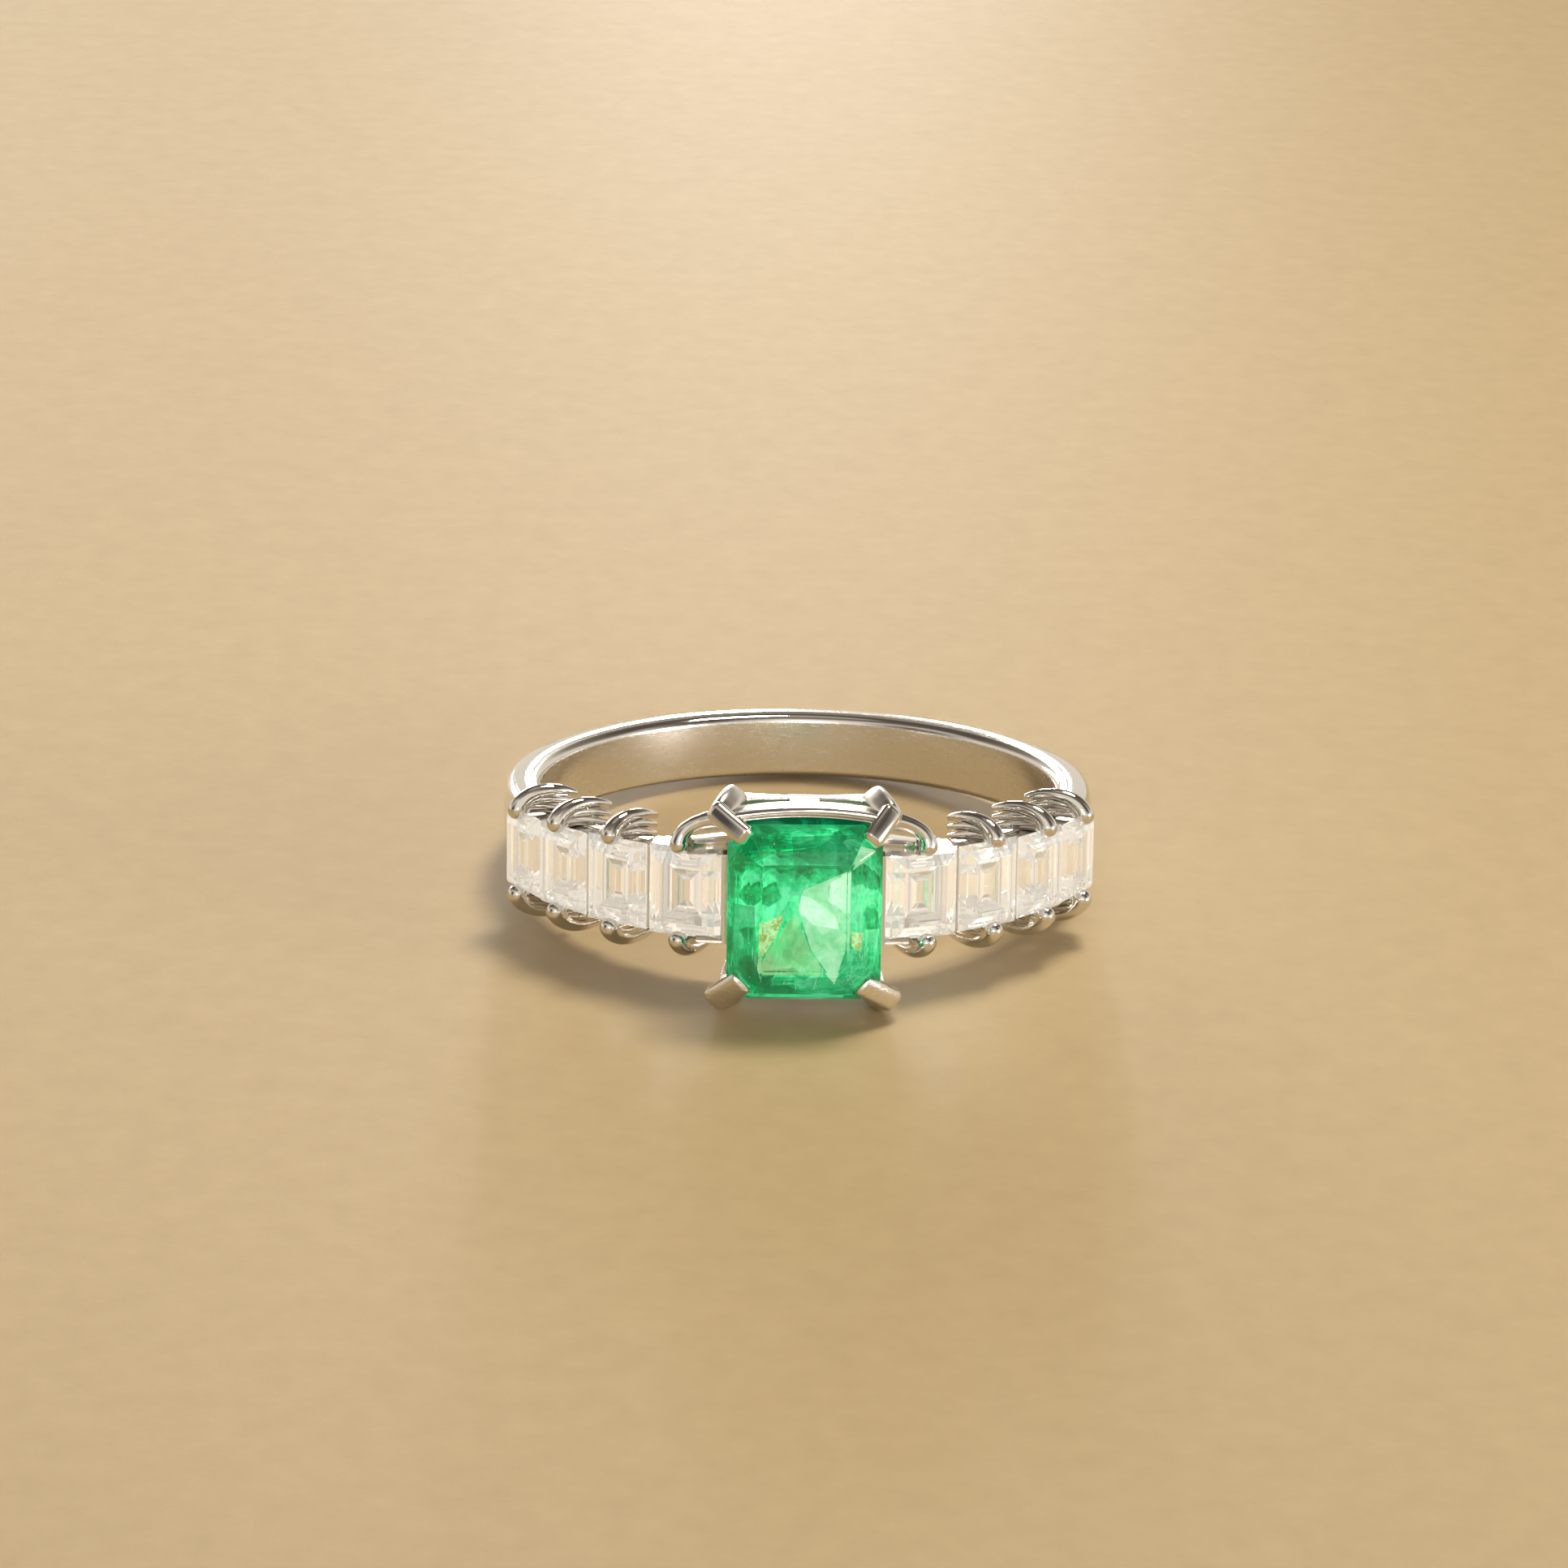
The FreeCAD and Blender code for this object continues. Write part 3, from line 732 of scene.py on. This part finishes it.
MELT_ROUNDS = 5


def catmull_rom(rows, fill):
    """Smooth run of tuples through the given ones."""
    result = []
    for index in range(len(rows) - 1):
        before = rows[max(index - 1, 0)]
        low, high = rows[index], rows[index + 1]
        after = rows[min(index + 2, len(rows) - 1)]
        for step in range(fill):
            t = step / fill
            result.append(tuple(
                0.5 * (2 * b + (c - a) * t + (2 * a - 5 * b + 4 * c - d) * t ** 2
                       + (3 * b - a - 3 * c + d) * t ** 3)
                for a, b, c, d in zip(before, low, high, after)))
    return result + [rows[-1]]


def claw_leg(bm, mirror):
    """Leg whose rounded square section is turned to face the corner of the stone."""
    rings = []
    c, s = math.cos(LEG_DIAGONAL), math.sin(LEG_DIAGONAL)
    for w, u, v, half_a, half_b in catmull_rom(LEG, LEG_FILL):
        outline = superellipse(half_a, half_b, LEG_POWER, LEG_AROUND)
        rings.append([mirror @ front(u + x * c - y * s, v + x * s + y * c, w)
                      for x, y in outline])
    loft(bm, rings)


def claw_tip(bm, start, end, width, mirror):
    """Pillow-shaped bar, round at the outer end and filed flat at the inner one."""
    way = end - start
    length = way.length
    way.normalize()
    across = way.cross(front(0, 0, 1)).normalized()
    up = across.cross(way)
    stations = []
    for step in range(ROUND_STEPS + 1):
        degrees = TIP_ROUND_FROM + (90 - TIP_ROUND_FROM) * step / ROUND_STEPS
        angle = math.radians(degrees)
        stations.append((TIP_ROUND * (1 - math.cos(angle)), TIP_ROUND * (1 - math.sin(angle))))
    for step in range(1, ROUND_STEPS):
        share = step / ROUND_STEPS
        stations.append((TIP_ROUND + (length - TIP_CHAMFER - TIP_ROUND) * share, 0.0))
    stations += [(length - TIP_CHAMFER, 0.0), (length, TIP_CHAMFER * TIP_CHAMFER_DROP)]
    rings = []
    for distance, shrink in stations:
        outline = superellipse(width / 2 - shrink, TIP_THICK / 2 - shrink, TIP_POWER, LEG_AROUND)
        swell = TIP_SWELL * (1 - (2 * distance / length - 1) ** 2)
        centre = start + way * distance + up * (swell - TIP_THICK / 2)
        rings.append([mirror @ (centre + across * x + up * y) for x, y in outline])
    loft(bm, rings)


def melted(name, bm, material):
    """Overlapping shells run together into one smooth body with soft inner corners."""
    blank = bpy.data.meshes.new(name)
    bmesh.ops.recalc_face_normals(bm, faces=bm.faces)
    bm.to_mesh(blank)
    bm.free()
    thing = add_object(name, blank)
    cells = thing.modifiers.new("cells", "REMESH")
    cells.mode = "VOXEL"
    cells.voxel_size = MELT_VOXEL
    relax = thing.modifiers.new("relax", "SMOOTH")
    relax.factor = MELT_SOFTNESS
    relax.iterations = MELT_ROUNDS
    apply_modifiers(thing)
    thing.data.transform(Matrix.Scale(MM, 4))
    thing.data.materials.clear()
    thing.data.materials.append(material)
    for polygon in thing.data.polygons:
        polygon.use_smooth = True
    return thing


def centre_claw(side, end):
    """Leg and filed tip of one claw of the emerald."""
    mirror = Matrix.Diagonal((SIGN[side], 1, SIGN[end]))
    outer, inner, width = TIPS[side, end]
    bm = bmesh.new()
    claw_leg(bm, mirror)
    claw_tip(bm, front(*outer), front(*inner), width, mirror)
    name = f"centre_claw_{side}_{end}"
    metal = HEAD_PLATINUM if end == "upper" else BRUSHED_PLATINUM
    piece(melted("polished_" + name, bm, metal), "platinum", name)


# shoulder between the centre claw and the first side claw, for the right upper quarter:
# foot of the horn on the centre claw and its two handles, and its radii towards the ball
HORN = ((2.46, 2.42, 9.55), (3.05, 2.36, 9.50), (3.80, 2.16, 9.42))
HORN_RADII = (0.34, 0.27, 0.23, 0.23, 0.26, 0.31)
# scooped web under the horn: its ends as (u, top v), and its front line from bottom to top
WEB_ENDS = {"upper": ((2.10, 2.50), (3.60, 2.10)), "lower": ((2.10, 1.62), (3.30, 1.60))}
WEB_BOTTOM_V = 1.30
WEB_FRONT = (9.78, 9.62, 9.46, 9.36, 9.32, 9.36, 9.44, 9.54)
WEB_BACK_W = 8.80
WEB_STEPS = 12
WEB_ANGLE = 40


def shoulder_web(side, end):
    """Scooped sheet that carries the first side claw on the centre claw."""
    (start_u, start_v), (stop_u, stop_v) = WEB_ENDS[end]
    mirror = Matrix.Diagonal((SIGN[side], 1, SIGN[end]))
    rings = []
    for step in range(WEB_STEPS + 1):
        u = start_u + (stop_u - start_u) * step / WEB_STEPS
        top_v = start_v + (stop_v - start_v) * step / WEB_STEPS
        count = 3 * len(WEB_FRONT)
        line = []
        for index in range(count + 1):
            share = index / count
            v = WEB_BOTTOM_V + (top_v - WEB_BOTTOM_V) * index / count
            line.append((v, between(WEB_FRONT, share)))
        section = line + [(v, WEB_BACK_W) for v, _ in reversed(line)]
        rings.append([mirror @ front(u, v, w) for v, w in section])
    bm = bmesh.new()
    loft(bm, rings)
    name = f"shoulder_web_{side}_{end}"
    piece(make_object("scooped_" + name, bm, SATIN_PLATINUM, WEB_ANGLE), "platinum", name)


# upper bearing rail: closed section as (v, w) at mid-length, from the back round the front
BEARING_SECTION = (
    (3.14, 10.36), (3.20, 10.40), (3.225, 10.50), (3.22, 11.22), (3.205, 11.34), (3.17, 11.42),
    (3.13, 11.43), (3.095, 11.38), (3.07, 11.10), (3.00, 11.06), (2.985, 11.22), (2.96, 11.28),
    (2.925, 11.28), (2.90, 11.22), (2.88, 10.96), (2.42, 10.94), (2.42, 10.56), (2.90, 10.44),
)
BEARING_HALF_U = 2.25
BEARING_STEPS = 12          # each way from the middle
BEARING_BOW = 0.20          # the rail's ends lie this much nearer the middle of the stone
BEARING_ROUND = 0.012
BEARING_ANGLE = 32
CAD_ROUND = 0.03            # on the edges of the CAD pieces that are kept
CAD_SEAM = 0.002


def bearing_rail():
    """The stepped, bowed rail above the emerald."""
    bm = bmesh.new()
    rings = []
    for step in range(-BEARING_STEPS, BEARING_STEPS + 1):
        share = step / BEARING_STEPS
        drop = BEARING_BOW * share ** 2
        rings.append([front(BEARING_HALF_U * share, v - drop, w) for v, w in BEARING_SECTION])
    loft(bm, rings)
    thing = make_object("rail_bearing_upper", bm, SATIN_PLATINUM)
    round_edges(thing, BEARING_ROUND, 2)
    apply_modifiers(thing)
    shade(thing.data, BEARING_ANGLE)
    piece(thing, "platinum", "bearing_rail_upper")


def dress_cad_node(node):
    """Keep a plain CAD piece, with its edges rounded and the metal's finish."""
    thing = frame["nodes"][node]
    thing.data.materials[0] = SATIN_PLATINUM
    weld = thing.modifiers.new("weld", "WELD")
    weld.merge_threshold = CAD_SEAM * MM
    round_edges(thing, CAD_ROUND, 3)


# ---- camera ------------------------------------------------------------------------
CAMERA_AZIMUTH = math.radians(-1.13)
CAMERA_ELEVATION = math.radians(15.15)
CAMERA_ROLL = math.radians(0.84)
CAMERA_DISTANCE = 200.0
CAMERA_AIM_RIGHT = -0.44    # mm from the middle of the bore, along the picture's sides
CAMERA_AIM_UP = 0.89
CAMERA_LENS = 142.2
CAMERA_SENSOR = 36.0
CAMERA_CLIP = (0.01, 20.0)  # metres


def direction(a, e):
    """Unit vector at an azimuth from the front of the ring and an elevation."""
    return Vector((math.sin(a) * math.cos(e), -math.cos(a) * math.cos(e), math.sin(e)))


def camera():
    """Camera in front of the ring and a little above it."""
    a, e, r = CAMERA_AZIMUTH, CAMERA_ELEVATION, CAMERA_ROLL
    back = direction(a, e)
    level = Vector((math.cos(a), math.sin(a), 0))
    upright = back.cross(level)
    right = level * math.cos(r) + upright * math.sin(r)
    up = upright * math.cos(r) - level * math.sin(r)
    data = bpy.data.cameras.new("camera")
    data.sensor_width = CAMERA_SENSOR
    data.lens = CAMERA_LENS
    data.clip_start, data.clip_end = CAMERA_CLIP
    thing = add_object("camera", data)
    place = back * CAMERA_DISTANCE + right * CAMERA_AIM_RIGHT + up * CAMERA_AIM_UP
    turn = Matrix((right, up, back)).transposed()
    thing.matrix_world = Matrix.Translation(place * MM) @ turn.to_4x4()
    bpy.context.scene.camera = thing


# ---- floor and lights --------------------------------------------------------------
FLOOR_HALF = 1500.0
FLOOR_DROP = 0.02           # of the floor below the two points it is fitted to
DEPTH_WEIGHT = 0.11         # of y against z, in picking those two points
FLOOR_TONES = ((0.370, 0.268, 0.132), (0.440, 0.328, 0.170))
FLOOR_ROUGHNESS = 0.62
# studio walls in front of and behind the ring: (height of the direction, colour)
FRONT_BANDS = (
    (0.0, (0.70, 0.58, 0.42)),
    (0.10, (0.98, 0.91, 0.79)),
    (0.68, (0.95, 0.88, 0.77)),
    (0.79, (0.36, 0.30, 0.25)),
    (0.94, (0.18, 0.15, 0.12)),
    (0.97, (0.44, 0.39, 0.33)),
)
BACK_BANDS = (
    (0.0, (0.70, 0.58, 0.42)),
    (0.10, (0.92, 0.85, 0.73)),
    (0.34, (0.88, 0.81, 0.70)),
    (0.50, (0.30, 0.26, 0.21)),
    (0.72, (0.12, 0.10, 0.08)),
    (0.94, (0.12, 0.10, 0.08)),
    (0.97, (0.44, 0.39, 0.33)),
)
# round cards on the walls: azimuth and elevation, inner and outer radius (degrees), colour
CARDS = (
    (-58.0, 20.0, 6.0, 28.0, (0.10, 0.085, 0.07)),
    (50.0, 42.0, 8.0, 31.0, (0.12, 0.10, 0.08)),
    (60.0, 6.0, 10.0, 18.0, (2.2, 2.15, 2.05)),
)
WALL_BLEND = (-0.25, 0.15)  # Y of the direction where the front wall turns into the back one
WORLD_STRENGTH = 0.9
WARM = (1.0, 0.93, 0.82)
PALE_WARM = (1.0, 0.97, 0.92)
WHITE_FRONT = (1.0, 0.98, 0.95)
WHITE_BACK = (1.0, 0.98, 0.94)
OPEN = 180.0                # degrees, beam of a bare light
BEAM = 40.0                 # degrees, beam of a light with a grid
# soft boxes: name, place, aim, width and height (millimetres), power in watts, colour, beam
LIGHTS = (
    ("key", (70, 40, 300), (0, 0, 0), (90, 90), 0.84, WARM, OPEN),
    ("front_right", (260, -150, 34), (0, 0, 0), (90, 60), 0.0205, PALE_WARM, BEAM),
    ("near_camera", (-18, -240, 62), (0, 0, 0), (22, 22), 0.10, WHITE_FRONT, OPEN),
    ("back_left", (-120, 330, 95), (0, 0, 0), (150, 36), 0.0287, PALE_WARM, BEAM),
    ("back_strip", (-1, 340, 84), (0, 9, 1), (15, 110), 0.0123, WHITE_BACK, BEAM),
    ("back_spot", (23, 340, 84), (7, 6, 1), (8, 60), 0.0041, WHITE_BACK, BEAM),
)


def resting_plane():
    """Low point near a lower claw's outer end, and the slope from there to the band.

    The middle of the lower claws, which is lower still, dips slightly through this plane.
    """
    claw = node_points("centre_claw_right_lower")
    head_low = min(claw, key=lambda point: point.z + DEPTH_WEIGHT * point.y)
    back = [point for point in node_points("shank") if point.y > 0]
    back_low = min(back, key=lambda point: point.z - DEPTH_WEIGHT * point.y)
    slope = (back_low.z - head_low.z) / (back_low.y - head_low.y)
    return head_low, slope


def floor():
    """Plain pale floor, tilted so that the ring rests on its lower claws and its back."""
    material, nodes, links, shader = new_material("pale_floor")
    place = nodes.new("ShaderNodeTexCoord")
    grain = add_node(nodes, "ShaderNodeTexNoise", Scale=900.0, Detail=5.0, Roughness=0.6)
    links.new(place.outputs["Object"], grain.inputs["Vector"])
    tone = add_node(nodes, "ShaderNodeMix", data_type="RGBA")
    for socket, colour in zip((6, 7), FLOOR_TONES):
        tone.inputs[socket].default_value = (*colour, 1)
    links.new(grain.outputs["Fac"], tone.inputs[0])
    links.new(tone.outputs[2], shader.inputs["Base Color"])
    shader.inputs["Roughness"].default_value = FLOOR_ROUGHNESS
    bump = add_node(nodes, "ShaderNodeBump", Strength=0.25, Distance=6e-5)
    links.new(grain.outputs["Fac"], bump.inputs["Height"])
    links.new(bump.outputs["Normal"], shader.inputs["Normal"])
    head_low, slope = resting_plane()
    bm = bmesh.new()
    ring = []
    for x, y in ((-1, -1), (1, -1), (1, 1), (-1, 1)):
        height = head_low.z - FLOOR_DROP + slope * (y * FLOOR_HALF - head_low.y)
        ring.append(bm.verts.new((x * FLOOR_HALF, y * FLOOR_HALF, height)))
    bm.faces.new(ring)
    make_object("floor", bm, material)


def area_light(name, place, aim, size, power, colour, beam):
    """Soft box; a narrow beam keeps its light off the floor far from the ring."""
    data = bpy.data.lights.new(name, "AREA")
    data.shape = "RECTANGLE"
    data.size, data.size_y = size[0] * MM, size[1] * MM
    data.energy = power
    data.spread = math.radians(beam)
    data.color = colour
    thing = add_object(name, data)
    thing.location = Vector(place) * MM
    way = (Vector(aim) - Vector(place)).normalized()
    thing.rotation_mode = "QUATERNION"
    thing.rotation_quaternion = way.to_track_quat("-Z", "Y")


def studio():
    """World of two banded walls, one in front of and one behind the ring, with cards."""
    world = bpy.data.worlds.new("studio")
    world.use_nodes = True
    nodes, links = world.node_tree.nodes, world.node_tree.links
    place = nodes.new("ShaderNodeTexCoord")
    split = nodes.new("ShaderNodeSeparateXYZ")
    links.new(place.outputs["Generated"], split.inputs["Vector"])
    blend = add_node(nodes, "ShaderNodeMix", data_type="RGBA")
    depth = add_node(nodes, "ShaderNodeMapRange", From_Min=WALL_BLEND[0],
                     From_Max=WALL_BLEND[1])
    links.new(split.outputs["Y"], depth.inputs["Value"])
    links.new(depth.outputs["Result"], blend.inputs[0])
    for socket, bands in ((6, FRONT_BANDS), (7, BACK_BANDS)):
        ramp = nodes.new("ShaderNodeValToRGB")
        set_ramp(ramp, bands)
        links.new(split.outputs["Z"], ramp.inputs["Fac"])
        links.new(ramp.outputs["Color"], blend.inputs[socket])
    wall = blend.outputs[2]
    for azimuth, elevation, inner, outer, colour in CARDS:
        near = add_node(nodes, "ShaderNodeVectorMath", operation="DOT_PRODUCT")
        near.inputs[1].default_value = direction(math.radians(azimuth), math.radians(elevation))
        links.new(place.outputs["Generated"], near.inputs[0])
        edge = add_node(nodes, "ShaderNodeMapRange", From_Min=math.cos(math.radians(outer)),
                        From_Max=math.cos(math.radians(inner)))
        links.new(near.outputs["Value"], edge.inputs["Value"])
        card = add_node(nodes, "ShaderNodeMix", data_type="RGBA")
        card.inputs[7].default_value = (*colour, 1)
        links.new(edge.outputs["Result"], card.inputs[0])
        links.new(wall, card.inputs[6])
        wall = card.outputs[2]
    background = nodes["Background"]
    background.inputs["Strength"].default_value = WORLD_STRENGTH
    links.new(wall, background.inputs["Color"])
    bpy.context.scene.world = world


# ---- the ring ----------------------------------------------------------------------
SETTINGS = {(side, number): Setting(f"side_diamond_{side}_{number}")
            for side in SIDES for number in NUMBERS}
PLAIN_NODES = [f"side_seat_{side}_{number}" for side, number in SETTINGS]
PLAIN_NODES += [f"{kind}_{end}" for kind in ("gallery_rail", "gallery_pillar") for end in ENDS]
PLAIN_NODES += [f"head_wall_{side}" for side in SIDES] + ["head_base", "bearing_rail_lower"]

bpy.context.scene.view_settings.view_transform = "Standard"
camera()
floor()
for light in LIGHTS:
    area_light(*light)
studio()
shank()
stone("emerald_stone", CENTRE, EMERALD_CROWN, EMERALD_BACK_PAINTED_GLOW, "emerald", "emerald", EMERALD_LEAN)
for number, (w, corners, material) in enumerate(VEILS, 1):
    veil(number, w, corners, material)
inclusions()
for (side, number), setting in SETTINGS.items():
    node = f"side_diamond_{side}_{number}"
    stone("cut_" + node, setting, DIAMOND_CROWN, DIAMOND_BACK_PAINTED_GLOW, "diamond", node)
for number in NUMBERS:
    side_claws(number)
for side in SIDES:
    for end in ENDS:
        centre_claw(side, end)
        shoulder_web(side, end)
bearing_rail()
for node in PLAIN_NODES:
    dress_cad_node(node)
